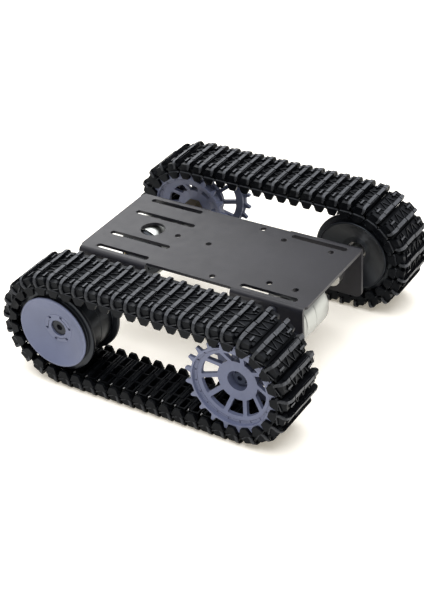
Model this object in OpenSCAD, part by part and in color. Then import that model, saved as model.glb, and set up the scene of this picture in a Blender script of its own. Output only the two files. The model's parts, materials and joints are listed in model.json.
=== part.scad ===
// Tracked tank chassis: a folded plate carries two geared motors, two drive sprockets,
// two idler wheels and two link tracks. The right side is modelled, and the left side is
// the same set of pieces turned half a turn about the vertical axis.
// +X is forward, +Y is left, +Z is up, and the ground is at z = 0.

/* [Chassis plate] */
// Length of the plate
plate_l = 160; // [150:1:170]
// Width over the bent-down side tabs
plate_w = 78; // [76:1:80]
// Sheet thickness
plate_t = 2; // [1.5:0.1:2.5]
// Height of the plate's top face above the wheel axles
plate_rise = 23.9; // [23.5:0.1:26]
// Width of every slot
slot_w = 4; // [3:0.1:5]
// Diameter of the cable hole
cable_hole_d = 16; // [10:1:20]
// Diameter of the small round holes
hole_d = 4; // [3:0.1:4.5]

/* [Track] */
// Distance between two hinge pins
pitch = 9.1; // [8.9:0.05:9.3]
// Links in one track
link_count = 47; // [45:2:51]
// Width of a link
link_w = 37; // [36.5:0.1:38]
// Height of the ground bars above the hinge pins
bar_h = 10; // [9:0.1:11]
// Distance from the middle of the vehicle to the middle of a track
track_y = 79.2; // [78:0.1:82]

/* [Wheels] */
// Height of the sprocket's teeth above its root circle
tooth_h = 3.7; // [3.3:0.1:3.8]
// Position of the driven axle along the vehicle
sprocket_x = 63.2; // [62:0.1:65]
// Diameter of the motor's output shaft
shaft_d = 6; // [5:0.5:6]
// Diameter of the idler's axle bolt
axle_d = 6; // [5:0.5:6]

/* [Motor] */
// Diameter of the geared motor
motor_d = 35; // [33:0.5:35]
// Length of the geared motor's body
motor_l = 37.5; // [34:0.5:40]
// Offset of the output shaft from the motor's middle, along X and along Z
shaft_offset = 3.9; // [3:0.1:4]

/* [Hidden] */
SIDES = ["right", "left"];
PIECES = [
  "gearbox_front", "gearbox_case", "motor_can", "motor_end_cap", "motor_terminals",
  "motor_screws", "output_shaft", "sprocket_outer", "sprocket_inner", "drive_coupler",
  "coupler_grub_screw", "sprocket_screw", "sprocket_washer", "idler_cover",
  "idler_outer_half", "idler_inner_half", "idler_bearings", "idler_axle_bolt",
  "idler_spacer", "idler_axle_nut", "track_links", "track_pins"
];
$fn = 64;
eps = 0.01;

plate_color = [0.23, 0.23, 0.25];
wheel_color = [0.42, 0.44, 0.58];
black_color = [0.08, 0.08, 0.09];
silver_color = [0.80, 0.80, 0.79];
dark_steel_color = [0.25, 0.25, 0.28];
brass_color = [0.72, 0.60, 0.32];

// Clearances: a running fit, a clamped fit, and an overshoot for cutters
running = 0.05;
loose = 0.3;
over = 1;

// Track: the hinge pins run on two half circles and two straight runs. The teeth of a
// quarter turn are a whole number, so the sprocket is in mesh again after each one. The
// tracks themselves stay still, so each link leaves a free way for the teeth to pass.
teeth = 20;
tooth_step = 360 / teeth;
pitch_r = teeth * pitch / (2 * PI);
run_l = (link_count - teeth) / 2 * pitch;
wrap_l = teeth / 2 * pitch;
idler_x = sprocket_x - run_l;
axle_z = pitch_r + bar_h;
plate_z = axle_z + plate_rise;

// Link, in its own frame: x runs from hinge to hinge, y away from the wheels, z across.
pin_r = 0.75;
bore_r = 0.8;
knuckle_r = 1.3;
knuckle_mid = 6;
knuckle_gap = 0.3;
knuckle_hi = 1;
half_pitch = pitch / 2;
link_half = half_pitch - 0.2;
wall_in = 14.2;
wall_t = link_w / 2 - wall_in;
lug_tip = -2.3;
web_lo = -1;
web_hi = 6.3;
web_half = 2.85;
web_skirt = 1.7;
bar_w = 2.45;
shoulder_h = 9;
edge_cut = 1.3;
pockets = 3;
pocket_step = 9.2;
pocket_w = 8;
pocket_half = 1.8;
pocket_top = 4.8;
tooth_way = 1.75;
tooth_side = 0.25;

// Sprocket, in its own frame: z runs outwards from the middle of the track.
root_r = pitch_r - 2.67;
tip_r = root_r + tooth_h;
step_r = root_r - 0.9;
window_r = root_r - 5.1;
face_z = 16.5;
tooth_t = 2.1;
step_z = 14.1;
window_z = 13;
hub_r = 13.1;
hub_hole_r = 6.6;
hub_face_z = 8.6;
dish_t = 2.6;
tube_r = 9.4;
spokes = 10;
spoke_w = 2.6;
spoke_turn = 1;
drive_web = 2.5;
screw_hole_r = 2.1;
coupler_af = 12;
coupler_end = -26;
coupler_top = -1.5;
coupler_r = coupler_af / sqrt(3);
shaft_end = -14.2;
shaft_foot = 8;
grub_r = 1.5;
grub_l = 2.8;
screw_r = 1.95;
screw_l = 8;
screw_head_r = 3.9;
screw_head_h = 2.6;
washer_r = 4.8;
washer_t = 0.8;

// Idler wheel, in its own frame like the sprocket: a rim that the track's lugs straddle,
// a drum, and a dished face. The outer half's face is a separate cover.
rim_r = pitch_r - 1.57;
rim_lo = 11.6;
rim_hi = 14;
rim_edge = 0.4;
drum_r = 23.4;
drum_wall = 1.8;
half_gap = 0.1;
web_z = 8;
boss_in_r = 5.4;
boss_out_r = 9.2;
seat_r = 6.5;
seat_hi = 10.3;
bearing_lo = 2.7;
bearing_hi = 7.7;
cover_r = 23.8;
cover_z = 17.6;
cover_lip = 0.95;
cover_t = 1.5;
cover_flat_r = 10.2;
cover_flat_z = 11.9;
cover_hole_r = 5.3;
dot_r = 0.9;
dot_ring_r = 8.4;
dots = 6;
dot_turn = 11;
axle_head_r = 4.9;
axle_head_h = 2.9;
axle_key_af = 4;
axle_nut_r = 6.2;
axle_nut_h = 4;
axle_tail = 1;
spacer_r = 5;

// Side tabs and bends of the plate
bend_r = 3;
tab_l = 49;
tab_x = 54.5;
tab_bottom = 27;
tab_corner = 4;
tab_out_z = plate_w / 2 - track_y;
tab_in_z = tab_out_z - plate_t;
corner_r = 2.3;

// Plate openings: middle and length of each slot, middle of each round hole
outer_slot_y = 31.5;
inner_slot_y = 14.5;
slots = [
  [-51, outer_slot_y, 38.5], [-51, -outer_slot_y, 38.5],
  [52.8, outer_slot_y, 38.5], [52.8, -outer_slot_y, 38.5],
  [-49.2, inner_slot_y, 44.3], [-49.2, -inner_slot_y, 44.3]
];
holes = [
  [-30.4, 0], [-7.9, 0], [13.6, 31], [13.6, -31],
  [31.7, 24.8], [64.2, 24.8], [47.8, -22.1], [65.4, -22.1]
];
cable_hole_x = -49.1;

// Geared motor, in its own frame: z runs inwards from the inner face of the side tab.
front_t = 8.5;
case_t = 11.5;
cap_t = 2;
cap_boss_r = 5;
cap_boss_h = 3;
case_step = 0.3;
boss_r = 6;
boss_l = 5;
terminal = [0.5, 2.8, 6];
terminal_x = 9;
motor_screws = 4;
motor_screw_ring_r = 14;
motor_screw_r = 1.45;
motor_screw_l = 6;
motor_screw_head_r = 2.75;
motor_screw_head_h = 2;

// Point of the hinge line at distance s along the track, from the axles' level.
function along(s) =
  s < wrap_l ? arc_point(sprocket_x, -90 + tooth_step * s / pitch)
  : s < wrap_l + run_l ? [sprocket_x - (s - wrap_l), pitch_r]
  : s < 2 * wrap_l + run_l ? arc_point(idler_x, 90 + tooth_step * (s - wrap_l - run_l) / pitch)
  : [idler_x + (s - 2 * wrap_l - run_l), -pitch_r];
function arc_point(x, a) = [x + pitch_r * cos(a), pitch_r * sin(a)];
function hinge(i) = along(((i + 0.5) % link_count) * pitch);

module on_side(side) {
  rotate([0, 0, side == "left" ? 180 : 0]) children();
}

// Frame of a wheel: x forward, y up, z outwards from the middle of the track.
module at_wheel(x) {
  translate([x, -track_y, axle_z]) rotate([90, 0, 0]) children();
}

// Frame of the motor: the origin is on the motor's middle line.
module at_motor() {
  translate([sprocket_x - shaft_offset, plate_t - plate_w / 2, axle_z + shaft_offset])
    rotate([-90, 0, 0]) children();
}

module rounded_rect(l, w, r) {
  square([l - 2 * r, w], center = true);
  square([l, w - 2 * r], center = true);
  for (sx = [-1, 1], sy = [-1, 1])
    translate([sx * (l / 2 - r), sy * (w / 2 - r)]) circle(r);
}

module slot_2d(l, w) {
  square([l - w, w], center = true);
  for (sx = [-1, 1]) translate([sx * (l - w) / 2, 0]) circle(w / 2);
}

module plate_openings() {
  for (s = slots) translate([s[0], s[1]]) slot_2d(s[2], slot_w);
  for (h = holes) translate(h) circle(hole_d / 2);
  translate([cable_hole_x, 0]) circle(cable_hole_d / 2);
}

// Rounded fold between the plate and a side tab, along X.
module fold() {
  rotate([90, 0, 90]) linear_extrude(tab_l, center = true) intersection() {
    difference() {
      circle(bend_r);
      circle(bend_r - plate_t);
    }
    translate([-bend_r, 0]) square(bend_r);
  }
}

module side_tab() {
  fold_z = plate_z - bend_r;
  tab_h = fold_z - tab_bottom + tab_corner;
  translate([0, bend_r - plate_w / 2, fold_z]) fold();
  intersection() {
    translate([0, plate_t - plate_w / 2, fold_z - tab_h / 2 + tab_corner])
      rotate([90, 0, 0]) linear_extrude(plate_t) rounded_rect(tab_l, tab_h, tab_corner);
    translate([-tab_l, -plate_w, 0]) cube([2 * tab_l, plate_w, fold_z]);
  }
}

module tab_holes() {
  cut_h = plate_t + 2 * over;
  at_wheel(idler_x) translate([0, 0, tab_in_z - over]) cylinder(r = axle_d / 2 + running, h = cut_h);
  at_motor() translate([0, 0, -plate_t - over]) {
    translate([shaft_offset, shaft_offset, 0]) cylinder(r = boss_r + loose, h = cut_h);
    at_motor_screws() cylinder(r = motor_screw_r + loose, h = cut_h);
  }
}

module chassis_plate() {
  color(plate_color) difference() {
    union() {
      translate([0, 0, plate_z - plate_t]) linear_extrude(plate_t) difference() {
        rounded_rect(plate_l, plate_w - 2 * bend_r, corner_r);
        plate_openings();
      }
      for (s = SIDES) on_side(s)
        for (sx = [-1, 1]) translate([sx * tab_x, 0, 0]) side_tab();
    }
    for (s = SIDES) on_side(s) tab_holes();
  }
}

module at_motor_screws() {
  for (i = [0 : motor_screws - 1]) rotate([0, 0, 360 / motor_screws * i])
    translate([motor_screw_ring_r, 0, 0]) children();
}

module gearbox_front() {
  color(silver_color) difference() {
    union() {
      cylinder(d = motor_d, h = front_t);
      translate([shaft_offset, shaft_offset, -boss_l]) cylinder(r = boss_r, h = boss_l + eps);
    }
    translate([shaft_offset, shaft_offset, -boss_l - over])
      cylinder(r = shaft_d / 2 + running, h = boss_l + front_t + 2 * over);
    at_motor_screws() translate([0, 0, -over]) cylinder(r = motor_screw_r + running, h = front_t);
  }
}

module gearbox_case() {
  color(silver_color) translate([0, 0, front_t]) cylinder(r = motor_d / 2 - case_step, h = case_t);
}

module motor_can() {
  can_z = front_t + case_t;
  color(silver_color) translate([0, 0, can_z]) cylinder(d = motor_d, h = motor_l - cap_t - can_z);
}

module motor_end_cap() {
  color(black_color) translate([0, 0, motor_l - cap_t]) {
    cylinder(d = motor_d, h = cap_t);
    cylinder(r = cap_boss_r, h = cap_t + cap_boss_h);
  }
}

module motor_terminals() {
  color(brass_color) for (sx = [-1, 1])
    translate([sx * terminal_x - terminal[0] / 2, -terminal[1] / 2, motor_l]) cube(terminal);
}

module motor_screw_set() {
  color(dark_steel_color) at_motor_screws() translate([0, 0, -plate_t]) {
    cylinder(r = motor_screw_r, h = plate_t + motor_screw_l);
    translate([0, 0, -motor_screw_head_h]) cylinder(r = motor_screw_head_r, h = motor_screw_head_h);
  }
}

// The shaft starts inside the gearbox's front housing and ends inside the coupler.
module output_shaft() {
  color(silver_color) translate([0, 0, tab_in_z - shaft_foot])
    cylinder(d = shaft_d, h = shaft_end - tab_in_z + shaft_foot);
}

// One tooth on the x axis, from inside the root circle to the tip.
module tooth_2d() {
  polygon([
    [root_r - 1, -2.0], [root_r, -1.8], [root_r + 2.2, -1.15], [tip_r - 0.4, -0.85], [tip_r, -0.5],
    [tip_r, 0.5], [tip_r - 0.4, 0.85], [root_r + 2.2, 1.15], [root_r, 1.8], [root_r - 1, 2.0]
  ]);
}

module toothed_ring_2d() {
  difference() {
    union() {
      circle(root_r);
      for (i = [0 : teeth - 1]) rotate(tooth_step * (i + 0.5) - 90) tooth_2d();
    }
    circle(step_r);
  }
}

// The windows between the hub and the rim, as one flat cutter.
module windows_2d() {
  difference() {
    circle(window_r);
    circle(hub_r);
    for (i = [0 : spokes - 1]) rotate(360 / spokes * i + spoke_turn)
      translate([0, -spoke_w / 2]) square([window_r + over, spoke_w]);
  }
}

// Half of a sprocket: a toothed rim, and a face dished towards the middle of the track.
module sprocket_half() {
  difference() {
    union() {
      translate([0, 0, face_z - tooth_t]) linear_extrude(tooth_t) toothed_ring_2d();
      rotate_extrude() polygon([
        [tube_r, 0], [tube_r, hub_face_z - dish_t], [hub_r, hub_face_z - dish_t],
        [window_r, window_z - dish_t], [step_r + 0.2, step_z - dish_t], [step_r + 0.2, face_z - eps],
        [step_r, face_z - eps], [step_r, step_z], [window_r, window_z],
        [hub_r, hub_face_z], [0, hub_face_z], [0, 0]
      ]);
    }
    translate([0, 0, -over]) linear_extrude(face_z + 2 * over) windows_2d();
  }
}

module sprocket_outer() {
  color(wheel_color) difference() {
    sprocket_half();
    translate([0, 0, drive_web]) cylinder(r = hub_hole_r, h = hub_face_z);
    translate([0, 0, -over]) cylinder(r = screw_hole_r, h = drive_web + 2 * over);
  }
}

module sprocket_inner() {
  color(wheel_color) difference() {
    mirror([0, 0, 1]) sprocket_half();
    translate([0, 0, coupler_top - hub_face_z]) cylinder(r = coupler_r + running, h = hub_face_z, $fn = 6);
    translate([0, 0, coupler_top - over]) cylinder(r = screw_hole_r, h = 2 * over - coupler_top);
  }
}

// Middle of the stretch of the coupler that the shaft fills
grub_z = (coupler_end + shaft_end) / 2;

module drive_coupler() {
  bore_top = coupler_top - screw_l - over;
  color(brass_color) difference() {
    translate([0, 0, coupler_end]) cylinder(r = coupler_r, h = coupler_top - coupler_end, $fn = 6);
    translate([0, 0, coupler_end - over])
      cylinder(r = shaft_d / 2 + eps, h = shaft_end - coupler_end + over + running);
    translate([0, 0, bore_top]) cylinder(r = screw_r + running, h = coupler_top - bore_top + over);
    translate([0, 0, grub_z]) rotate([-90, 0, 0]) cylinder(r = grub_r + running, h = coupler_af);
  }
}

module coupler_grub_screw() {
  key_depth = grub_l / 2;
  color(dark_steel_color) translate([0, shaft_d / 2 + 2 * eps, grub_z]) rotate([-90, 0, 0]) difference() {
    cylinder(r = grub_r, h = grub_l);
    translate([0, 0, key_depth]) cylinder(r = 0.85, h = grub_l, $fn = 6);
  }
}

module sprocket_screw() {
  head_z = drive_web + washer_t;
  color(dark_steel_color) {
    translate([0, 0, coupler_top - screw_l]) cylinder(r = screw_r, h = screw_l - coupler_top + head_z + eps);
    translate([0, 0, head_z]) difference() {
      cylinder(r = screw_head_r, h = screw_head_h);
      translate([0, 0, over]) cylinder(r = 1.7, h = screw_head_h, $fn = 6);
    }
  }
}

module sprocket_washer() {
  color(silver_color) translate([0, 0, drive_web]) difference() {
    cylinder(r = washer_r, h = washer_t);
    translate([0, 0, -over]) cylinder(r = screw_hole_r, h = washer_t + 2 * over);
  }
}

module idler_cover() {
  plug_r = drum_r - drum_wall - 0.1;
  color(wheel_color) difference() {
    rotate_extrude() polygon([
      [cover_hole_r, cover_flat_z - cover_t], [cover_flat_r, cover_flat_z - cover_t],
      [plug_r, cover_z - 2], [plug_r, cover_z - cover_lip],
      [cover_r, cover_z - cover_lip], [cover_r, cover_z - rim_edge], [cover_r - rim_edge, cover_z],
      [cover_r - 1.2, cover_z], [cover_flat_r, cover_flat_z], [cover_hole_r, cover_flat_z]
    ]);
    for (i = [0 : dots - 1]) rotate(360 / dots * i + dot_turn)
      translate([dot_ring_r, 0, cover_flat_z - 2 * over]) cylinder(r = dot_r, h = 3 * over);
  }
}

// Points shared by both halves of the idler: the hollow drum between boss and rim.
idler_drum = [
  [boss_in_r, half_gap], [boss_out_r, half_gap], [boss_out_r, web_z], [drum_r - 2.4, web_z],
  [drum_r - 2.4, half_gap], [drum_r, half_gap], [drum_r, rim_lo], [rim_r - rim_edge, rim_lo],
  [rim_r, rim_lo + rim_edge], [rim_r, rim_hi - rim_edge], [rim_r - rim_edge, rim_hi]
];

module idler_outer_half() {
  color(black_color) rotate_extrude() polygon(concat(idler_drum, [
    [drum_r, rim_hi], [drum_r, cover_z - 1], [drum_r - drum_wall, cover_z - 1],
    [drum_r - drum_wall, seat_hi], [seat_r, seat_hi], [seat_r, bearing_lo], [boss_in_r, bearing_lo]
  ]));
}

module idler_inner_half() {
  color(black_color) mirror([0, 0, 1]) rotate_extrude() polygon(concat(idler_drum, [
    [cover_r, rim_hi], [cover_r, cover_z - rim_edge], [cover_r - rim_edge, cover_z],
    [cover_r - 1.2, cover_z], [cover_flat_r, seat_hi + 0.7], [seat_r, seat_hi + 0.7],
    [seat_r, bearing_lo], [boss_in_r, bearing_lo]
  ]));
}

module idler_bearings() {
  w = bearing_hi - bearing_lo;
  color(silver_color) for (m = [0, 1]) mirror([0, 0, m]) translate([0, 0, bearing_lo]) difference() {
    cylinder(r = seat_r - running, h = w);
    translate([0, 0, -over]) cylinder(r = axle_d / 2 + running, h = w + 2 * over);
  }
}

module idler_axle_bolt() {
  head_z = bearing_hi + 2 * running;
  tail_z = tab_in_z - axle_nut_h - axle_tail;
  color(dark_steel_color) difference() {
    union() {
      translate([0, 0, tail_z]) cylinder(d = axle_d, h = head_z - tail_z + eps);
      translate([0, 0, head_z]) cylinder(r = axle_head_r, h = axle_head_h);
    }
    translate([0, 0, head_z + over]) cylinder(r = axle_key_af / sqrt(3), h = axle_head_h, $fn = 6);
  }
}

// A tube or ring around the axle bolt, from z0 to z1.
module axle_ring(r, z0, z1) {
  color(silver_color) translate([0, 0, z0]) difference() {
    cylinder(r = r, h = z1 - z0);
    translate([0, 0, -over]) cylinder(r = axle_d / 2 + running, h = z1 - z0 + 2 * over);
  }
}

module idler_spacer() axle_ring(spacer_r, tab_out_z, -bearing_hi - 3 * running);

module idler_axle_nut() axle_ring(axle_nut_r, tab_in_z - axle_nut_h, tab_in_z);

// Ground side of a link: a web, a lower shoulder and the bar at the rear hinge. Its points
// run from the front of the web to the rear of the bar.
tread = [
  [link_half, web_skirt], [link_half, web_hi], [0.7, web_hi], [0, shoulder_h],
  [bar_w - link_half, shoulder_h], [bar_w - link_half, bar_h], [-link_half, bar_h], [-link_half, web_skirt]
];

// End wall of a link: the tread with a lug towards the wheels. The lugs leave gaps for teeth.
module link_wall_2d() {
  polygon(concat([[-3.5, 1.3], [-3.1, 0], [-2.2, lug_tip], [2.2, lug_tip], [3.1, 0], [3.5, 1.3]], tread));
}

module link_core_2d() {
  polygon(concat([
    [-web_half, web_skirt], [-web_half, web_lo], [web_half, web_lo], [web_half, web_skirt]
  ], tread));
}

// Hinge knuckle at one end of a link, over the stretch z0 to z1.
module knuckle(x, z0, z1) {
  translate([x, 0, z0]) cylinder(r = knuckle_r, h = z1 - z0, $fn = 32);
  translate([min(x, 0), web_lo, z0]) cube([abs(x), knuckle_hi - web_lo, z1 - z0]);
}

module link() {
  front_lo = knuckle_mid + knuckle_gap;
  front_hi = wall_in - knuckle_gap;
  difference() {
    intersection() {
      union() {
        for (z0 = [-link_w / 2, wall_in]) translate([0, 0, z0]) linear_extrude(wall_t) link_wall_2d();
        linear_extrude(2 * wall_in + 2 * eps, center = true) link_core_2d();
        knuckle(-half_pitch, -knuckle_mid, knuckle_mid);
        knuckle(half_pitch, front_lo, front_hi);
        knuckle(half_pitch, -front_hi, -front_lo);
      }
      rotate([0, -90, 0]) linear_extrude(2 * pitch, center = true) polygon([
        [-link_w / 2, -bar_h], [link_w / 2, -bar_h], [link_w / 2, bar_h - edge_cut],
        [link_w / 2 - edge_cut, bar_h], [edge_cut - link_w / 2, bar_h], [-link_w / 2, bar_h - edge_cut]
      ]);
    }
    for (i = [0 : pockets - 1])
      translate([-pocket_half, web_lo - over, (i - (pockets - 1) / 2) * pocket_step - pocket_w / 2])
        cube([2 * pocket_half, pocket_top - web_lo + over, pocket_w]);
    for (m = [0, 1]) mirror([0, 0, m]) translate([-pitch, -pitch, wall_in + eps])
      cube([2 * pitch, pitch + tooth_way, face_z + tooth_side - wall_in]);
    for (sx = [-1, 1]) translate([sx * half_pitch, 0, -wall_in])
      cylinder(r = bore_r, h = 2 * wall_in, $fn = 32);
  }
}

module track_links() {
  color(black_color) for (i = [0 : link_count - 1]) {
    a = hinge(i);
    b = hinge(i + 1);
    translate([(a[0] + b[0]) / 2, (a[1] + b[1]) / 2, 0])
      rotate([0, 0, atan2(a[1] - b[1], a[0] - b[0])]) link();
  }
}

module track_pins() {
  pin_half = wall_in - knuckle_gap;
  color(dark_steel_color) for (i = [0 : link_count - 1])
    translate([hinge(i)[0], hinge(i)[1], -pin_half]) cylinder(r = pin_r, h = 2 * pin_half, $fn = 32);
}

// Draws one piece of a side.
module piece(p) {
  if (p == "gearbox_front") at_motor() gearbox_front();
  if (p == "gearbox_case") at_motor() gearbox_case();
  if (p == "motor_can") at_motor() motor_can();
  if (p == "motor_end_cap") at_motor() motor_end_cap();
  if (p == "motor_terminals") at_motor() motor_terminals();
  if (p == "motor_screws") at_motor() motor_screw_set();
  if (p == "output_shaft") at_wheel(sprocket_x) output_shaft();
  if (p == "sprocket_outer") at_wheel(sprocket_x) sprocket_outer();
  if (p == "sprocket_inner") at_wheel(sprocket_x) sprocket_inner();
  if (p == "drive_coupler") at_wheel(sprocket_x) drive_coupler();
  if (p == "coupler_grub_screw") at_wheel(sprocket_x) coupler_grub_screw();
  if (p == "sprocket_screw") at_wheel(sprocket_x) sprocket_screw();
  if (p == "sprocket_washer") at_wheel(sprocket_x) sprocket_washer();
  if (p == "idler_cover") at_wheel(idler_x) idler_cover();
  if (p == "idler_outer_half") at_wheel(idler_x) idler_outer_half();
  if (p == "idler_inner_half") at_wheel(idler_x) idler_inner_half();
  if (p == "idler_bearings") at_wheel(idler_x) idler_bearings();
  if (p == "idler_axle_bolt") at_wheel(idler_x) idler_axle_bolt();
  if (p == "idler_spacer") at_wheel(idler_x) idler_spacer();
  if (p == "idler_axle_nut") at_wheel(idler_x) idler_axle_nut();
  if (p == "track_links") at_wheel(0) track_links();
  if (p == "track_pins") at_wheel(0) track_pins();
}

chassis_plate();
for (s = SIDES, p = PIECES)
  on_side(s) piece(p);
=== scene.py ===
"""Tracked tank chassis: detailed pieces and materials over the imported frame."""

import json
from math import atan2, cos, pi, radians, sin, sqrt

import bmesh
import bpy
import numpy as np
from mathutils import Matrix, Vector


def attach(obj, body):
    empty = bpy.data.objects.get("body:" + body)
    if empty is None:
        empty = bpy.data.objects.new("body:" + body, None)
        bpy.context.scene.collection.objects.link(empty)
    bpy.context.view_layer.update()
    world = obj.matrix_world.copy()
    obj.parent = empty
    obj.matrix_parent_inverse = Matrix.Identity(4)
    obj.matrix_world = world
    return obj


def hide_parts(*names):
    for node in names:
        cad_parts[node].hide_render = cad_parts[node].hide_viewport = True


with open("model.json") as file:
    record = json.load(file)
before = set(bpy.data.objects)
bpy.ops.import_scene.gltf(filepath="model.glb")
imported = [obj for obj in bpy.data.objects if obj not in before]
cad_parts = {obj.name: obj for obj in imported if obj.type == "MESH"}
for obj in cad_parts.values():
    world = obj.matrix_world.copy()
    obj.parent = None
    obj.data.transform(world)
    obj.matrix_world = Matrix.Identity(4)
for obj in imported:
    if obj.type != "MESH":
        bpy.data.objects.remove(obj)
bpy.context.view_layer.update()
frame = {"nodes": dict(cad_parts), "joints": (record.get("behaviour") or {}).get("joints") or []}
scene = bpy.context.scene

# The object's sizes are in millimetres, and its meshes are scaled to metres when they are placed.
# The camera, the floor and the lights are in metres.
MM = 0.001
SIDES = ("right", "left")

# ------------------------------------------------------------------ camera

CAMERA_AT = Vector((0.42054, -0.65565, 0.52928))
AZIMUTH = radians(33.16)
ELEVATION = radians(32.96)
ROLL = radians(-3.45)
LENS = 88.3
SENSOR = 36


def camera_axes():
    """The camera's right, up and backward directions."""
    back = Vector((sin(AZIMUTH) * cos(ELEVATION), -cos(AZIMUTH) * cos(ELEVATION), sin(ELEVATION)))
    right = (-back).cross(Vector((0, 0, 1))).normalized()
    up = right.cross(-back)
    turned_right = cos(ROLL) * right + sin(ROLL) * up
    turned_up = cos(ROLL) * up - sin(ROLL) * right
    return turned_right, turned_up, back


camera = bpy.data.objects.new("camera", bpy.data.cameras.new("camera"))
camera.data.lens = LENS
camera.data.sensor_width = SENSOR
axes = Matrix(camera_axes()).transposed().to_4x4()
camera.matrix_world = Matrix.Translation(CAMERA_AT) @ axes
scene.collection.objects.link(camera)
scene.camera = camera

# ------------------------------------------------------------------ sizes shared with the CAD

PITCH = 9.1
LINKS = 47
TEETH = 20
PITCH_R = TEETH * PITCH / (2 * pi)
RUN = (LINKS - TEETH) / 2 * PITCH
WRAP = TEETH / 2 * PITCH
TRACK_Y = 79.2
PLATE_HALF = 39.0
PLATE_T = 2.0
SHAFT_OFFSET = 3.9
SPOKES = 10
# Corners round a large turned piece, so that its outline looks round
ROUND = 128

joint_at = {joint["name"]: 1000 * Vector(joint["pos_m"]) for joint in frame["joints"]}
DRIVE_X = joint_at["right_drive"].x
IDLER_X = joint_at["right_idler_spin"].x
AXLE_Z = joint_at["right_drive"].z


def side_turn(side):
    """The left side is the right side turned half a turn about the vertical axis."""
    return Matrix.Rotation(pi if side == "left" else 0, 4, "Z")


def at_wheel(side, x):
    """Frame of a wheel: x forward, y up, z outwards from the middle of the track."""
    place = Matrix.Translation((x, -TRACK_Y, AXLE_Z)) @ Matrix.Rotation(pi / 2, 4, "X")
    return side_turn(side) @ place


def at_motor(side):
    """Frame of a motor: z inwards from the inner face of the side tab."""
    corner = (DRIVE_X - SHAFT_OFFSET, PLATE_T - PLATE_HALF, AXLE_Z + SHAFT_OFFSET)
    return side_turn(side) @ Matrix.Translation(corner) @ Matrix.Rotation(-pi / 2, 4, "X")


# ------------------------------------------------------------------ mesh helpers


def mesh_object(name, bm):
    """Turns a bmesh into an object, with its faces outwards."""
    bmesh.ops.recalc_face_normals(bm, faces=bm.faces)
    mesh = bpy.data.meshes.new(name)
    bm.to_mesh(mesh)
    bm.free()
    piece = bpy.data.objects.new(name, mesh)
    scene.collection.objects.link(piece)
    return piece


def prism(outline, z0, z1):
    """A solid with a flat outline in x and y, from z0 to z1."""
    bm = bmesh.new()
    lower = [bm.verts.new((x, y, z0)) for x, y in outline]
    upper = [bm.verts.new((x, y, z1)) for x, y in outline]
    bm.faces.new(lower)
    bm.faces.new(upper)
    for i in range(len(outline)):
        k = (i + 1) % len(outline)
        bm.faces.new((lower[i], lower[k], upper[k], upper[i]))
    return mesh_object("part", bm)


def block(x0, x1, y0, y1, z0, z1):
    """A box-shaped solid, to be joined to others or cut out of them."""
    return prism([(x0, y0), (x1, y0), (x1, y1), (x0, y1)], z0, z1)


def circle(radius, count, centre=(0, 0)):
    """The outline of a circle."""
    angles = [2 * pi * i / count for i in range(count)]
    return [(centre[0] + radius * cos(a), centre[1] + radius * sin(a)) for a in angles]


def lathe(profile, count=96):
    """A closed profile of (radius, z) turned about z. Points on the axis become one vertex."""
    bm = bmesh.new()
    rings = []
    for r, z in profile:
        if r < 1e-6:
            rings.append([bm.verts.new((0, 0, z))])
        else:
            rings.append([bm.verts.new((x, y, z)) for x, y in circle(r, count)])
    for here, there in zip(rings, rings[1:] + rings[:1]):
        if len(here) == 1 and len(there) == 1:
            continue
        for i in range(count):
            k = (i + 1) % count
            lower = [here[i % len(here)], here[k % len(here)]]
            upper = [there[k % len(there)], there[i % len(there)]]
            bm.faces.new(list(dict.fromkeys(lower + upper)))
    return mesh_object("part", bm)


def fillet(points, radius):
    """Rounds the corners of a closed outline that turn by 30 degrees or more."""
    steps = 4
    result = []
    count = len(points)
    for i, point in enumerate(points):
        here = Vector(point)
        before = Vector(points[i - 1]) - here
        after = Vector(points[(i + 1) % count]) - here
        turn = pi - before.angle(after)
        if turn < radians(30):
            result.append(tuple(point))
            continue
        reach = min(radius * np.tan(turn / 2), before.length * 0.49, after.length * 0.49)
        start = here + before.normalized() * reach
        end = here + after.normalized() * reach
        for s in range(steps + 1):
            t = s / steps
            curved = (1 - t) ** 2 * start + 2 * t * (1 - t) * here + t**2 * end
            result.append((curved.x, curved.y))
    return result


def evaluated_mesh(piece):
    """The piece's mesh with its modifiers applied."""
    graph = bpy.context.evaluated_depsgraph_get()
    return bpy.data.meshes.new_from_object(piece.evaluated_get(graph))


def combine(base, operation, parts):
    """Applies the parts to the base as boolean operations, and removes them."""
    for part in parts:
        modifier = base.modifiers.new("join", "BOOLEAN")
        modifier.operation = operation
        modifier.solver = "MANIFOLD"
        modifier.object = part
    mesh = evaluated_mesh(base)
    base.modifiers.clear()
    base.data = mesh
    for part in parts:
        bpy.data.objects.remove(part)
    return base


def join(parts):
    """Makes one solid of several that overlap."""
    return combine(parts[0], "UNION", parts[1:])


def cut(base, parts):
    """Cuts the parts out of the base."""
    return combine(base, "DIFFERENCE", parts)


def bevel(piece, width, segments, angle):
    """Softens the edges, and keeps the result as the piece's mesh."""
    modifier = piece.modifiers.new("edges", "BEVEL")
    modifier.width = width
    modifier.segments = segments
    modifier.limit_method = "ANGLE"
    modifier.angle_limit = radians(angle)
    mesh = evaluated_mesh(piece)
    piece.modifiers.clear()
    piece.data = mesh
    return piece


def mirrored(part):
    """The same solid turned over, so that it faces the other way along z."""
    part.data.transform(Matrix.Scale(-1, 4, (0, 0, 1)))
    part.data.flip_normals()
    return part


def place(piece, name, matrix, material, body, nodes, slot):
    """Puts a finished piece where it belongs, in metres, and ties it to the frame."""
    piece.name = name
    piece.data.name = name
    piece.data.transform(Matrix.Scale(MM, 4) @ matrix)
    piece.data.shade_smooth()
    piece.data.set_sharp_from_angle(angle=radians(40))
    piece.data.materials.clear()
    piece.data.materials.append(material)
    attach(piece, body)
    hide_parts(*nodes)
    return piece


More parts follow.
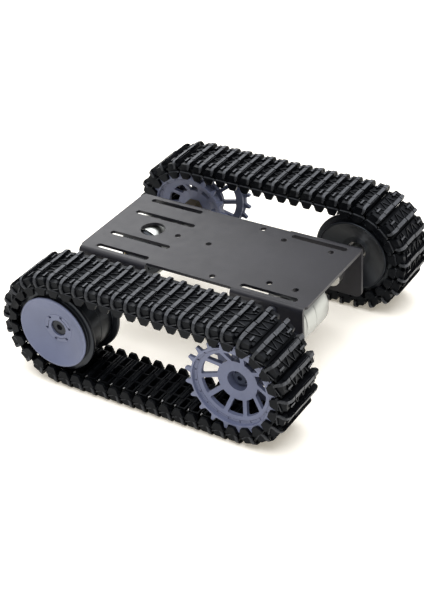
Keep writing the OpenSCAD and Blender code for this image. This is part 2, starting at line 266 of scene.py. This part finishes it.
def copy_of(piece):
    """A second object with a mesh of its own."""
    twin = bpy.data.objects.new(piece.name, piece.data.copy())
    scene.collection.objects.link(twin)
    return twin


def place_both(piece, part, matrix_of, material, body_of, slot):
    """Places a piece on the right, and its copy on the left."""
    for item, side in ((piece, "right"), (copy_of(piece), "left")):
        node = f"{side}_{part}"
        place(item, f"{node}_detail", matrix_of(side), material, body_of(side), [node], slot)


def place_on_wheel(piece, part, x, material, wheel, slot):
    """Places a piece of both sprockets or both idlers, which turns with its wheel."""
    place_both(piece, part, lambda side: at_wheel(side, x), material, lambda side: f"{side}_{wheel}", slot)


# ------------------------------------------------------------------ materials

WORN_EDGE = 0.3 * MM
GRAIN_DEPTH = 0.2 * MM


def rgb(r, g, b):
    """A colour without transparency."""
    return (r, g, b, 1.0)


def ramp(nodes, links, value, low, high):
    """A colour between low and high, by the middle part of a noise's values."""
    node = nodes.new("ShaderNodeValToRGB")
    node.color_ramp.elements[0].position = 0.35
    node.color_ramp.elements[0].color = low
    node.color_ramp.elements[1].position = 0.65
    node.color_ramp.elements[1].color = high
    links.new(value, node.inputs["Fac"])
    return node.outputs["Color"]


def noise(nodes, links, coords, scale, detail):
    """Smooth noise from 0 to 1."""
    node = nodes.new("ShaderNodeTexNoise")
    node.inputs["Scale"].default_value = scale
    node.inputs["Detail"].default_value = detail
    links.new(coords, node.inputs["Vector"])
    return node.outputs["Fac"]


def spread(nodes, links, value, low, high, start=0.3, end=0.7):
    """The value, moved from the range start to end into the range low to high."""
    node = nodes.new("ShaderNodeMapRange")
    node.inputs["From Min"].default_value = start
    node.inputs["From Max"].default_value = end
    node.inputs["To Min"].default_value = low
    node.inputs["To Max"].default_value = high
    links.new(value, node.inputs["Value"])
    return node.outputs["Result"]


def worn_edges(nodes, links):
    """1 on sharp edges and 0 on flat surfaces, from how far a rounded normal leans."""
    rounded = nodes.new("ShaderNodeBevel")
    rounded.samples = 4
    rounded.inputs["Radius"].default_value = WORN_EDGE
    flat = nodes.new("ShaderNodeNewGeometry").outputs["Normal"]
    lean = nodes.new("ShaderNodeVectorMath")
    lean.operation = "DOT_PRODUCT"
    links.new(rounded.outputs["Normal"], lean.inputs[0])
    links.new(flat, lean.inputs[1])
    return spread(nodes, links, lean.outputs["Value"], 1.0, 0.0, 0.86, 0.99)


def blend(nodes, links, amount, paint, other):
    """Changes the paint to another colour by the given amount."""
    mix = nodes.new("ShaderNodeMix")
    mix.data_type = "RGBA"
    links.new(amount, mix.inputs["Factor"])
    links.new(paint, mix.inputs["A"])
    mix.inputs["B"].default_value = other
    return mix.outputs["Result"]


def scuffs_and_painted_highlights(nodes, links, coords):
    """The faces marked on the mesh for scuffs and painted highlights, made uneven by noise."""
    marked = nodes.new("ShaderNodeAttribute")
    marked.attribute_name = "scuff_and_highlight_amount"
    uneven = spread(nodes, links, noise(nodes, links, coords, 700, 4), 0.5, 1.0)
    amount = nodes.new("ShaderNodeMath")
    amount.operation = "MULTIPLY"
    links.new(marked.outputs["Fac"], amount.inputs[0])
    links.new(uneven, amount.inputs[1])
    return amount.outputs["Value"]


def finish_material(
    name,
    low,
    high,
    rough,
    tone_scale,
    grain,
    grain_scale=3000,
    metallic=0.0,
    specular=0.5,
    wear=None,
    scuff_and_highlight_colour=None,
    gloss_tint=(1, 1, 1, 1),
):
    """A surface with uneven tone and gloss, a fine grain, and lighter worn edges or lighter marked faces
    for scuffs and painted highlights.
    """
    material = bpy.data.materials.new(name)
    material.use_nodes = True
    nodes = material.node_tree.nodes
    links = material.node_tree.links
    shader = nodes["Principled BSDF"]
    shader.inputs["Metallic"].default_value = metallic
    shader.inputs["Specular IOR Level"].default_value = specular
    shader.inputs["Specular Tint"].default_value = gloss_tint
    coords = nodes.new("ShaderNodeTexCoord").outputs["Object"]
    tone = noise(nodes, links, coords, tone_scale, 6)
    paint = ramp(nodes, links, tone, low, high)
    if wear:
        paint = blend(nodes, links, worn_edges(nodes, links), paint, wear)
    if scuff_and_highlight_colour:
        paint = blend(nodes, links, scuffs_and_painted_highlights(nodes, links, coords), paint, scuff_and_highlight_colour)
    links.new(paint, shader.inputs["Base Color"])
    gloss = noise(nodes, links, coords, tone_scale * 4, 5)
    links.new(spread(nodes, links, gloss, *rough), shader.inputs["Roughness"])
    fine = noise(nodes, links, coords, grain_scale, 3)
    bump = nodes.new("ShaderNodeBump")
    bump.inputs["Strength"].default_value = grain
    bump.inputs["Distance"].default_value = GRAIN_DEPTH
    links.new(fine, bump.inputs["Height"])
    links.new(bump.outputs["Normal"], shader.inputs["Normal"])
    return material


track_black = finish_material(
    "track_plastic",
    rgb(0.0025, 0.0028, 0.0038),
    rgb(0.0055, 0.0060, 0.0072),
    (0.26, 0.40),
    tone_scale=90,
    grain_scale=2500,
    grain=0.06,
    specular=0.07,
    # scuffs, and painted highlights on the link faces that look upwards and on the bar ends that catch a
    # glint
    scuff_and_highlight_colour=rgb(0.092, 0.096, 0.106),
    gloss_tint=rgb(0.80, 0.90, 1.0),
)
wheel_blue = finish_material(
    "wheel_plastic",
    rgb(0.110, 0.127, 0.203),
    rgb(0.127, 0.145, 0.229),
    (0.42, 0.54),
    tone_scale=70,
    grain_scale=2600,
    grain=0.05,
    specular=0.4,
    wear=rgb(0.20, 0.21, 0.31),
)
rim_black = finish_material(
    "black_plastic",
    rgb(0.005, 0.0055, 0.0075),
    rgb(0.007, 0.0075, 0.010),
    (0.29, 0.32),
    tone_scale=30,
    grain=0.008,
    specular=0.32,
    gloss_tint=rgb(0.78, 0.88, 1.0),
)
plate_paint = finish_material(
    "plate_paint",
    rgb(0.010, 0.010, 0.014),
    rgb(0.014, 0.014, 0.019),
    (0.34, 0.42),
    tone_scale=40,
    grain_scale=2200,
    grain=0.10,
    specular=0.34,
    wear=rgb(0.055, 0.055, 0.062),
)
motor_silver = finish_material(
    "motor_metal",
    rgb(0.37, 0.385, 0.375),
    rgb(0.41, 0.425, 0.415),
    (0.28, 0.31),
    tone_scale=30,
    grain_scale=3000,
    grain=0.004,
    metallic=1.0,
)
bright_steel = finish_material(
    "bright_steel",
    rgb(0.50, 0.50, 0.50),
    rgb(0.62, 0.62, 0.62),
    (0.2, 0.32),
    tone_scale=150,
    grain=0.02,
    metallic=1.0,
)
dark_steel = finish_material(
    "dark_steel",
    rgb(0.012, 0.013, 0.018),
    rgb(0.019, 0.020, 0.027),
    (0.32, 0.40),
    tone_scale=160,
    grain=0.02,
    specular=0.2,
    gloss_tint=rgb(0.80, 0.90, 1.0),
    wear=rgb(0.06, 0.06, 0.07),
)
blued_steel = finish_material(
    "blued_steel",
    rgb(0.012, 0.016, 0.032),
    rgb(0.017, 0.022, 0.040),
    (0.40, 0.48),
    tone_scale=160,
    grain=0.02,
    specular=0.15,
    gloss_tint=rgb(0.70, 0.80, 1.0),
)
# a dark, dull brass: painted shade, so that the coupler and the terminals look as if they sit in shadow
brass = finish_material(
    "brass",
    rgb(0.30, 0.24, 0.13),
    rgb(0.38, 0.30, 0.17),
    (0.30, 0.36),
    tone_scale=60,
    grain=0.01,
    metallic=1.0,
)
aluminium = finish_material(
    "aluminium",
    rgb(0.66, 0.66, 0.65),
    rgb(0.80, 0.80, 0.79),
    (0.24, 0.38),
    tone_scale=140,
    grain=0.02,
    metallic=1.0,
)

# ------------------------------------------------------------------ track link

# In a link, u runs forwards along the track, n outwards from the wheels, and w across the track.
LUG_IN = 16.75
HALF_W = 18.5
WALL_IN = 14.2
WALL_FACE = 17.1
STRIP_FACE = 18.0
HALF_U = 4.35
HINGE_U = 4.55
BODY_BACK = -2.9
LINK_FOOT = 1.75
TREAD_FLOOR = 4.6
OVERHANG_N = 5.3
RIB_TOP = 8.1
BAR_FOOT = 8.5
BAR_TOP = 10.0
POCKET_W = 9.2
# The w where each slanting rib starts beside the bar, and the w where it ends at the link's front
RIBS = ((12.6, 11.2), (8.0, 5.4), (2.6, 4.6), (1.2, -1.6), (-4.4, -2.4), (-6.0, -8.8), (-12.4, -11.0))


def end_wall():
    """One end of a link: a lug towards the wheels, and the sunk wall of the tread."""
    top = [(HALF_U, 4.4), (3.6, 4.9), (3.1, 7.4), (2.5, 8.0), (-3.6, 8.0), (-HALF_U, 6.8)]
    lug_back = [(-3.5, 1.3), (-3.1, 0), (-2.2, -1.9), (-1.8, -2.3)]
    lug_front = [(-u, n) for u, n in reversed(lug_back)]
    ankle = [(HALF_U, LINK_FOOT), (3.6, 2.6), (-3.2, 2.6), (-HALF_U, LINK_FOOT)]
    foot = prism(lug_back + lug_front + ankle, LUG_IN, HALF_W)
    back = [(-HALF_U, OVERHANG_N), (BODY_BACK, OVERHANG_N), (BODY_BACK, LINK_FOOT)]
    wall = prism([(HALF_U, LINK_FOOT)] + top + back, WALL_IN, WALL_FACE)
    return join([foot, wall])


def slab(outline, n0, n1):
    """A solid with a flat outline in u and w, from n0 to n1."""
    part = prism([(u, -w) for u, w in outline], n0, n1)
    part.data.transform(Matrix.Rotation(-pi / 2, 4, "X"))
    return part


def rib(start, end, width, n0, n1):
    """A thin straight rib between two points in u and w."""
    a = Vector(start)
    b = Vector(end)
    side = (b - a).normalized().orthogonal() * width / 2
    return slab([tuple(a + side), tuple(b + side), tuple(b - side), tuple(a - side)], n0, n1)


def strip(path, wide, narrow, thick):
    """A flat strip along points (u, n, w), whose width shrinks from wide to narrow."""
    bm = bmesh.new()
    rings = []
    last = len(path) - 1
    for i, point in enumerate(path):
        along_it = (Vector(path[min(i + 1, last)]) - Vector(path[max(i - 1, 0)])).normalized()
        across = Vector((1, 0, 0))
        across = (across - across.dot(along_it) * along_it).normalized()
        across *= (wide + (narrow - wide) * i / last) / 2
        out = along_it.cross(across).normalized() * thick / 2
        corners = (across + out, across - out, -across - out, -across + out)
        rings.append([bm.verts.new(Vector(point) + corner) for corner in corners])
    bm.faces.new(rings[0])
    bm.faces.new(rings[-1])
    for here, there in zip(rings, rings[1:]):
        for i in range(4):
            k = (i + 1) % 4
            bm.faces.new((here[i], here[k], there[k], there[i]))
    return mesh_object("strip", bm)


def bar_end(radius, drop, lean):
    """The bar's end: it bends over the end wall, runs down it and leans towards the hinge."""
    u = -3.1
    n = BAR_TOP - 0.5 - radius
    w = STRIP_FACE - radius
    over = [(u, n + radius * cos(t), w + radius * sin(t)) for t in np.linspace(0, pi / 2, 7)]
    down = [(u + lean * t**2, n - drop * t, STRIP_FACE) for t in np.linspace(0.2, 1, 5)]
    return strip(over + down, 2.2, 1.1, 0.95)


def link_mesh():
    """One moulded link with its tread, in its own u, n and w."""
    parts = [end_wall(), mirrored(end_wall())]
    # outer end: the strip that ends the bar, and two slanting ribs on the sunk wall beside it
    parts.append(bar_end(4.2, 4.2, 2.6))
    for high_u, high_n in ((3.9, 4.7), (4.0, 2.2)):
        parts.append(strip([(-0.9, 2.7, 17.4), (high_u, high_n, 17.4)], 0.7, 0.7, 0.9))
    parts.append(mirrored(bar_end(2.2, 2.4, 0.8)))
    # web, and the body of the tread: a tongue in front slides under the next link's overhang
    parts.append(block(-2.85, 2.85, -1, TREAD_FLOOR, -WALL_IN - 0.02, WALL_IN + 0.02))
    body = [
        (BODY_BACK, 2.0),
        (HALF_U, 2.0),
        (HALF_U, 6.6),
        (3.9, 7.0),
        (-2.0, 7.4),
        (-HALF_U, 7.4),
        (-HALF_U, OVERHANG_N),
        (BODY_BACK, OVERHANG_N),
    ]
    parts.append(prism(body, -WALL_IN - 0.03, WALL_IN + 0.03))
    tongue = [(3.6, 3.1), (HALF_U, 3.3), (6.1, 3.9), (6.1, 4.5), (4.5, 5.1), (3.6, 5.1)]
    parts.append(prism(tongue, -LUG_IN + 0.05, LUG_IN - 0.05))
    # ground bar: one low ridge, with four longer pieces on it that are set a little off
    parts.append(block(-4.2, -2.0, 6.0, BAR_TOP - 1, -WALL_IN - 0.04, WALL_IN + 0.04))
    for w0, w1, shift in ((-15.9, -12.0, 0.05), (-11.4, 0.0, 0.45), (0.7, 10.4, 0.0), (11.1, 14.0, 0.1)):
        parts.append(block(shift - HALF_U, shift - 2.1, 7.5, BAR_TOP, w0, w1))
    # raised pattern between the bars: two short bars, and slanting ribs
    for w0, w1 in ((9.6, 14.1), (-13.6, -9.0)):
        parts.append(block(1.0, 2.1, 5.0, 9.0, w0, w1))
    for bar_side, front_side in RIBS:
        parts.append(rib((-2.2, bar_side), (4.0, front_side), 0.5, 5.2, RIB_TOP))
    # hinge knuckles; the pin shows beside the outer one
    for u, w0, w1 in ((-HINGE_U, -6.0, 6.0), (HINGE_U, 6.3, 12.0), (HINGE_U, -13.9, -6.3)):
        parts.append(prism(circle(1.3, 12, (u, 0)), w0, w1))
        parts.append(block(min(u, 0), max(u, 0), -0.9, 0.9, w0 + 0.01, w1 - 0.01))
    link = join(parts)
    pockets = [block(-1.8, 1.8, -2, 4.2, w - 4, w + 4) for w in (-POCKET_W, 0, POCKET_W)]
    bores = [prism(circle(0.8, 12, (u, 0)), -WALL_IN, WALL_IN) for u in (-HINGE_U, HINGE_U)]
    cut(link, bores + pockets)
    bevel(link, 0.14, 1, 50)
    mesh = link.data
    bpy.data.objects.remove(link)
    return mesh


def scuff_and_highlight_of(face):
    """How light one face of a link is painted, for scuffs and a painted highlight where the face looks up
    or catches light: bars most, then their ends, the ribs and the body's top.
    """
    n = face.center.y
    w = abs(face.center.z)
    # faces that look upwards are painted lighter: a painted highlight as well as scuffs
    upwards = face.normal.y > 0.6
    if upwards and n > BAR_FOOT:
        return 1.0
    # the bar ends on the end walls get a painted glint
    if n > LINK_FOOT and w > WALL_FACE + 0.35:
        return 0.45
    if upwards and n > RIB_TOP - 0.1 and w < WALL_IN:
        return 0.35
    if upwards and n > OVERHANG_N:
        return 0.12
    return 0.0


def arc_point(x, angle):
    """Point of the hinge line on the wheel at x."""
    return Vector((x + PITCH_R * cos(angle), PITCH_R * sin(angle)))


def along(s):
    """Point of the hinge line at distance s along the track, from the axles' level."""
    if s < WRAP:
        return arc_point(DRIVE_X, -pi / 2 + s / PITCH_R)
    if s < WRAP + RUN:
        return Vector((DRIVE_X - (s - WRAP), PITCH_R))
    if s < 2 * WRAP + RUN:
        return arc_point(IDLER_X, pi / 2 + (s - WRAP - RUN) / PITCH_R)
    return Vector((IDLER_X + (s - 2 * WRAP - RUN), -PITCH_R))


def link_places():
    """Where each link stands, as a place and turn of its own u and n."""
    places = []
    for i in range(LINKS):
        a = along(((i + 0.5) % LINKS) * PITCH)
        b = along(((i + 1.5) % LINKS) * PITCH)
        middle = (a + b) / 2
        turn = Matrix.Rotation(atan2(a.y - b.y, a.x - b.x), 4, "Z")
        places.append(Matrix.Translation((middle.x, middle.y, 0)) @ turn)
    return places


def repeated(mesh, places, name):
    """One mesh with a copy of the given link at each place."""
    count = len(mesh.vertices)
    points = np.empty(count * 3, np.float32)
    mesh.vertices.foreach_get("co", points)
    points = np.c_[points.reshape(-1, 3), np.ones(count)]
    moved = [(points @ np.array(m).T)[:, :3] for m in places]
    faces = [list(p.vertices) for p in mesh.polygons]
    all_faces = [[v + k * count for v in f] for k in range(len(places)) for f in faces]
    result = bpy.data.meshes.new(name)
    result.from_pydata(np.concatenate(moved).tolist(), [], all_faces)
    # the painted highlight and scuff amount of every face of every link
    scuff_and_highlight_amount = result.attributes.new("scuff_and_highlight_amount", "FLOAT", "FACE")
    marks = np.array([scuff_and_highlight_of(face) for face in mesh.polygons], np.float32)
    scuff_and_highlight_amount.data.foreach_set("value", np.tile(marks, len(places)))
    piece = bpy.data.objects.new(name, result)
    scene.collection.objects.link(piece)
    return piece


one_link = link_mesh()
for side in SIDES:
    track = repeated(one_link, link_places(), f"{side}_track")
    node = f"{side}_track_links"
    place(track, f"{node}_detail", at_wheel(side, 0), track_black, "chassis", [node], "track_plastic")

# ------------------------------------------------------------------ drive sprocket

ROOT_R = PITCH_R - 2.67
TIP_R = ROOT_R + 3.7
STEP_R = ROOT_R - 0.9
WINDOW_R = ROOT_R - 5.1
GROOVE_R = STEP_R - 2.0
FACE_Z = 16.5
STEP_Z = 14.1
WINDOW_Z = 13.0
HUB_R = 13.1
HUB_Z = 8.6
TUBE_R = 9.4
DISH_T = 2.6
SPOKE_HALF = 1.3
TOOTH_STEP = 2 * pi / TEETH
SPOKE_STEP = 2 * pi / SPOKES
BORE_R = 6.6
BORE_FLOOR = 2.5
SCREW_HOLE_R = 2.1
COUPLER_FLATS = 12.05
COUPLER_FLOOR = 1.5
THROUGH = 20


def turned(points, angle):
    """The outline turned about the wheel's axle."""
    return [(x * cos(angle) - y * sin(angle), x * sin(angle) + y * cos(angle)) for x, y in points]


def tooth_angle(i):
    """Where tooth i stands; the lowest point of the wheel is midway between two teeth."""
    return TOOTH_STEP * (i + 0.5) - pi / 2


def toothed_outline():
    """The rim's outer edge, with pointed teeth and round gaps."""
    tooth = [
        (ROOT_R, -1.8),
        (ROOT_R + 0.9, -1.4),
        (ROOT_R + 2.2, -1.1),
        (TIP_R - 0.3, -0.8),
        (TIP_R, -0.4),
        (TIP_R, 0.4),
        (TIP_R - 0.3, 0.8),
        (ROOT_R + 2.2, 1.1),
        (ROOT_R + 0.9, 1.4),
        (ROOT_R, 1.8),
    ]
    outline = []
    for i in range(TEETH):
        outline += turned(tooth, tooth_angle(i))
        outline += turned([(ROOT_R - 0.05, 0)], tooth_angle(i + 0.5))
    return outline


def window_outline(i, outer_r):
    """The gap between two spokes, with rounded corners."""
    start = i * SPOKE_STEP + radians(1)
    points = []
    for r, order in ((outer_r, 1), (HUB_R, -1)):
        trim = np.arcsin(SPOKE_HALF / r)
        angles = np.linspace(start + trim, start + SPOKE_STEP - trim, 7)[::order]
        points += [(r * cos(a), r * sin(a)) for a in angles]
    return fillet(points, 1.6)


def sprocket_half(window_r):
    """A dished disc with ten windows, a toothed rim, and a ring of small marks."""
    disc = lathe(
        [
            (0, 0),
            (TUBE_R, 0),
            (TUBE_R, HUB_Z - DISH_T),
            (HUB_R, HUB_Z - DISH_T),
            (WINDOW_R, WINDOW_Z - DISH_T),
            (STEP_R + 0.3, STEP_Z - DISH_T),
            (STEP_R + 0.3, FACE_Z - 0.2),
            (STEP_R - 0.1, FACE_Z - 0.2),
            (STEP_R - 0.1, STEP_Z),
            (WINDOW_R, WINDOW_Z),
            (HUB_R, HUB_Z),
            (0, HUB_Z),
        ]
    )
    rim = prism(toothed_outline(), FACE_Z - 2.1, FACE_Z)
    cut(rim, [prism(circle(STEP_R, 96), 10, THROUGH)])
    half = join([disc, rim])
    cutters = [prism(window_outline(i, window_r), -1, THROUGH) for i in range(SPOKES)]
    groove = [(GROOVE_R, STEP_Z - 0.9), (GROOVE_R + 0.3, STEP_Z - 0.9)]
    groove += [(GROOVE_R + 0.3, STEP_Z + 0.9), (GROOVE_R, STEP_Z + 0.9)]
    cutters.append(lathe(groove))
    mark = [(STEP_R - 1.6, -0.42), (STEP_R - 0.25, -0.42), (STEP_R - 0.25, 0.42), (STEP_R - 1.6, 0.42)]
    for i in range(TEETH):
        cutters.append(prism(turned(mark, tooth_angle(i)), STEP_Z - 0.9, STEP_Z + 0.6))
    return cut(half, cutters)


outer_half = sprocket_half(WINDOW_R)
inner_half = sprocket_half(WINDOW_R - 2.4)
bore = prism(circle(BORE_R, 64), BORE_FLOOR, THROUGH)
coupler_seat = prism(circle(COUPLER_FLATS / sqrt(3), 6), COUPLER_FLOOR, THROUGH)
for half, seat in ((outer_half, bore), (inner_half, coupler_seat)):
    cut(half, [seat, prism(circle(SCREW_HOLE_R, 24), -1, 5)])
mirrored(inner_half)
for half, part in ((outer_half, "sprocket_outer"), (inner_half, "sprocket_inner")):
    bevel(half, 0.22, 2, 40)
    place_on_wheel(half, part, DRIVE_X, wheel_blue, "sprocket", "wheel_plastic")

# ------------------------------------------------------------------ idler wheel

DRUM_R = 23.4
RIM_R = PITCH_R - 1.57
COVER_R = 23.8
COVER_Z = 17.6
DOTS_R = 8.4
ARCS_R = 7.3


def arc_band(radius, width, start, end):
    """The outline of a curved band between two angles in degrees."""
    angles = np.radians(np.linspace(start, end, 14))
    outer = [((radius + width / 2) * cos(a), (radius + width / 2) * sin(a)) for a in angles]
    inner = [((radius - width / 2) * cos(a), (radius - width / 2) * sin(a)) for a in angles[::-1]]
    return outer + inner


cover = lathe(
    [
        (5.3, 10.4),
        (10.2, 10.4),
        (21.5, 15.6),
        (21.5, COVER_Z - 0.95),
        (COVER_R, COVER_Z - 0.95),
        (COVER_R, COVER_Z - 0.35),
        (COVER_R - 0.3, COVER_Z - 0.05),
        (COVER_R - 0.7, COVER_Z),
        (COVER_R - 1.1, COVER_Z),
        (COVER_R - 1.35, COVER_Z - 0.25),
        (10.3, 11.95),
        (10.1, 11.9),
        (9.85, 11.7),
        (9.65, 11.7),
        (9.45, 11.9),
        (5.5, 11.9),
        (5.3, 11.7),
    ],
    ROUND,
)
dots = []
for angle in np.radians(range(11, 371, 60)):
    centre = (DOTS_R * cos(angle), DOTS_R * sin(angle))
    dots.append(prism(circle(1.0, 20, centre), 10.9, 13))
arcs = [prism(arc_band(ARCS_R, 0.45, *ends), 11.4, 13) for ends in ((133, 190), (249, 312), (15, 66))]
cut(cover, dots + arcs)
place_on_wheel(cover, "idler_cover", IDLER_X, wheel_blue, "idler", "wheel_plastic")

drum = [
    (5.4, 0.1),
    (9.2, 0.1),
    (9.2, 8.0),
    (21.0, 8.0),
    (21.0, 0.1),
    (DRUM_R - 0.2, 0.1),
    (DRUM_R, 0.3),
    (DRUM_R, 11.3),
    (DRUM_R + 0.3, 11.6),
    (RIM_R - 0.5, 11.6),
    (RIM_R - 0.15, 11.75),
    (RIM_R, 12.1),
    (RIM_R, 13.5),
    (RIM_R - 0.15, 13.85),
    (RIM_R - 0.5, 14.0),
]
outer_end = [
    (DRUM_R + 0.3, 14.0),
    (DRUM_R, 14.3),
    (DRUM_R, 16.6),
    (21.6, 16.6),
    (21.6, 10.3),
    (6.5, 10.3),
]
inner_end = [
    (COVER_R + 0.2, 14.0),
    (COVER_R, 14.2),
    (COVER_R, COVER_Z - 0.4),
    (COVER_R - 0.4, COVER_Z),
    (COVER_R - 1.2, COVER_Z),
    (COVER_R - 1.6, COVER_Z - 0.3),
    (10.4, 11.1),
    (9.9, 11.0),
    (6.5, 11.0),
]
bearing_seat = [(6.5, 2.7), (5.4, 2.7)]
idler_outer = lathe(drum + outer_end + bearing_seat, ROUND)
idler_inner = mirrored(lathe(drum + inner_end + bearing_seat, ROUND))
for half, part in ((idler_outer, "idler_outer_half"), (idler_inner, "idler_inner_half")):
    place_on_wheel(half, part, IDLER_X, rim_black, "idler", "black_plastic")

# ------------------------------------------------------------------ geared motor

MOTOR_R = 17.5
CAP_R = 16.3
BOSS_R = 6.0
SHAFT_WAY_R = 3.05
SCREW_CIRCLE_R = 14
# How far the front, the case, the can and the cap reach, from the side tab inwards
FRONT_END = 8.5
CASE_END = 20.0
CAN_END = 35.5
CAP_END = 37.5
BOSS_END = 40.5


def motor_pieces():
    """Front plate with its bearing boss, gearbox case, motor can and end cap."""
    boss = lathe(
        [
            (SHAFT_WAY_R, -5.0),
            (BOSS_R - 0.3, -5.0),
            (BOSS_R, -4.7),
            (BOSS_R, 0.3),
            (SHAFT_WAY_R, 0.3),
        ],
        64,
    )
    boss.data.transform(Matrix.Translation((SHAFT_OFFSET, SHAFT_OFFSET, 0)))
    plate = lathe(
        [
            (0, 0),
            (MOTOR_R - 0.5, 0),
            (MOTOR_R, 0.5),
            (MOTOR_R, FRONT_END - 0.4),
            (MOTOR_R - 0.3, FRONT_END),
            (0, FRONT_END),
        ],
        ROUND,
    )
    front = join([boss, plate])
    holes = [prism(circle(SHAFT_WAY_R, 40, (SHAFT_OFFSET, SHAFT_OFFSET)), -6, 7)]
    for angle in (0, pi / 2, pi, 3 * pi / 2):
        centre = (SCREW_CIRCLE_R * cos(angle), SCREW_CIRCLE_R * sin(angle))
        holes.append(prism(circle(1.5, 20, centre), -1, 7))
    cut(front, holes)
    case = lathe(
        [
            (0, FRONT_END),
            (MOTOR_R - 1.3, FRONT_END),
            (MOTOR_R - 1.3, FRONT_END + 0.7),
            (MOTOR_R - 0.5, FRONT_END + 0.7),
            (MOTOR_R - 0.3, FRONT_END + 0.9),
            (MOTOR_R - 0.3, CASE_END - 0.4),
            (MOTOR_R - 0.7, CASE_END),
            (0, CASE_END),
        ],
        ROUND,
    )
    can = lathe(
        [
            (0, CASE_END),
            (MOTOR_R - 0.4, CASE_END),
            (MOTOR_R, CASE_END + 0.4),
            (MOTOR_R, CAN_END - 0.9),
            (MOTOR_R - 0.3, CAN_END - 0.3),
            (MOTOR_R - 0.9, CAN_END),
            (0, CAN_END),
        ],
        ROUND,
    )
    cap = lathe(
        [
            (0, CAN_END),
            (CAP_R, CAN_END),
            (CAP_R, CAP_END - 0.6),
            (CAP_R - 0.5, CAP_END),
            (BOSS_R - 0.7, CAP_END),
            (BOSS_R - 1.0, CAP_END + 0.3),
            (BOSS_R - 1.0, BOSS_END - 0.4),
            (BOSS_R - 1.4, BOSS_END),
            (0, BOSS_END),
        ],
        ROUND,
    )
    vent_bands = [arc_band(11.5, 2.2, start, start + 50) for start in (20, 110, 200, 290)]
    cut(cap, [prism(band, CAP_END - 0.5, 39) for band in vent_bands])
    return front, case, can, cap


for piece, part, material, slot in zip(
    motor_pieces(),
    ("gearbox_front", "gearbox_case", "motor_can", "motor_end_cap"),
    (motor_silver, motor_silver, motor_silver, rim_black),
    ("motor_metal", "motor_metal", "motor_metal", "black_plastic"),
):
    place_both(piece, part, at_motor, material, lambda side: "chassis", slot)

# ------------------------------------------------------------------ CAD pieces with a better finish

finishes = {
    "track_pins": bright_steel,
    "motor_terminals": brass,
    "motor_screws": dark_steel,
    "output_shaft": bright_steel,
    "drive_coupler": brass,
    "coupler_grub_screw": dark_steel,
    "sprocket_screw": blued_steel,
    "sprocket_washer": blued_steel,
    "idler_bearings": bright_steel,
    "idler_axle_bolt": dark_steel,
    "idler_spacer": aluminium,
    "idler_axle_nut": aluminium,
}


def refinish(node, material):
    """Gives a CAD piece a better material."""
    piece = frame["nodes"][node]
    for slot in piece.material_slots:
        slot.material = material


for side in SIDES:
    for part, material in finishes.items():
        refinish(f"{side}_{part}", material)
refinish("chassis_plate", plate_paint)

# ------------------------------------------------------------------ floor and light

floor_bm = bmesh.new()
bmesh.ops.create_grid(floor_bm, x_segments=1, y_segments=1, size=6)
floor = mesh_object("floor", floor_bm)
floor_paint = finish_material(
    "floor_paint",
    rgb(0.95, 0.93, 0.89),
    rgb(0.96, 0.94, 0.90),
    (0.8, 0.9),
    tone_scale=2,
    grain_scale=300,
    grain=0.0,
    specular=0.1,
)
# The floor glows faintly in a warm tint: a painted glow that lifts the shade near the object, so that it
# is as pale and warm there as a bright studio floor.
floor_shader = floor_paint.node_tree.nodes["Principled BSDF"]
floor_shader.inputs["Emission Color"].default_value = rgb(1.0, 0.90, 0.72)
floor_shader.inputs["Emission Strength"].default_value = 0.26
floor.data.materials.append(floor_paint)

world = bpy.data.worlds.new("studio")
world.use_nodes = True
world.node_tree.nodes["Background"].inputs["Color"].default_value = rgb(1.0, 0.995, 0.985)
world.node_tree.nodes["Background"].inputs["Strength"].default_value = 0.50
scene.world = world


def softbox(name, place_at, size, power):
    """A square soft light that looks at the middle of the chassis."""
    data = bpy.data.lights.new(name, "AREA")
    data.shape = "SQUARE"
    data.size = size
    data.energy = power
    lamp = bpy.data.objects.new(name, data)
    lamp.location = place_at
    aim = Vector((0, 0, 0.03)) - Vector(place_at)
    lamp.rotation_euler = aim.to_track_quat("-Z", "Y").to_euler()
    scene.collection.objects.link(lamp)


softbox("overhead", (0.15, -0.15, 1.9), 2.2, 62)
softbox("window", (-1.5, 1.3, 1.1), 1.3, 17)
scene.view_settings.view_transform = "Standard"
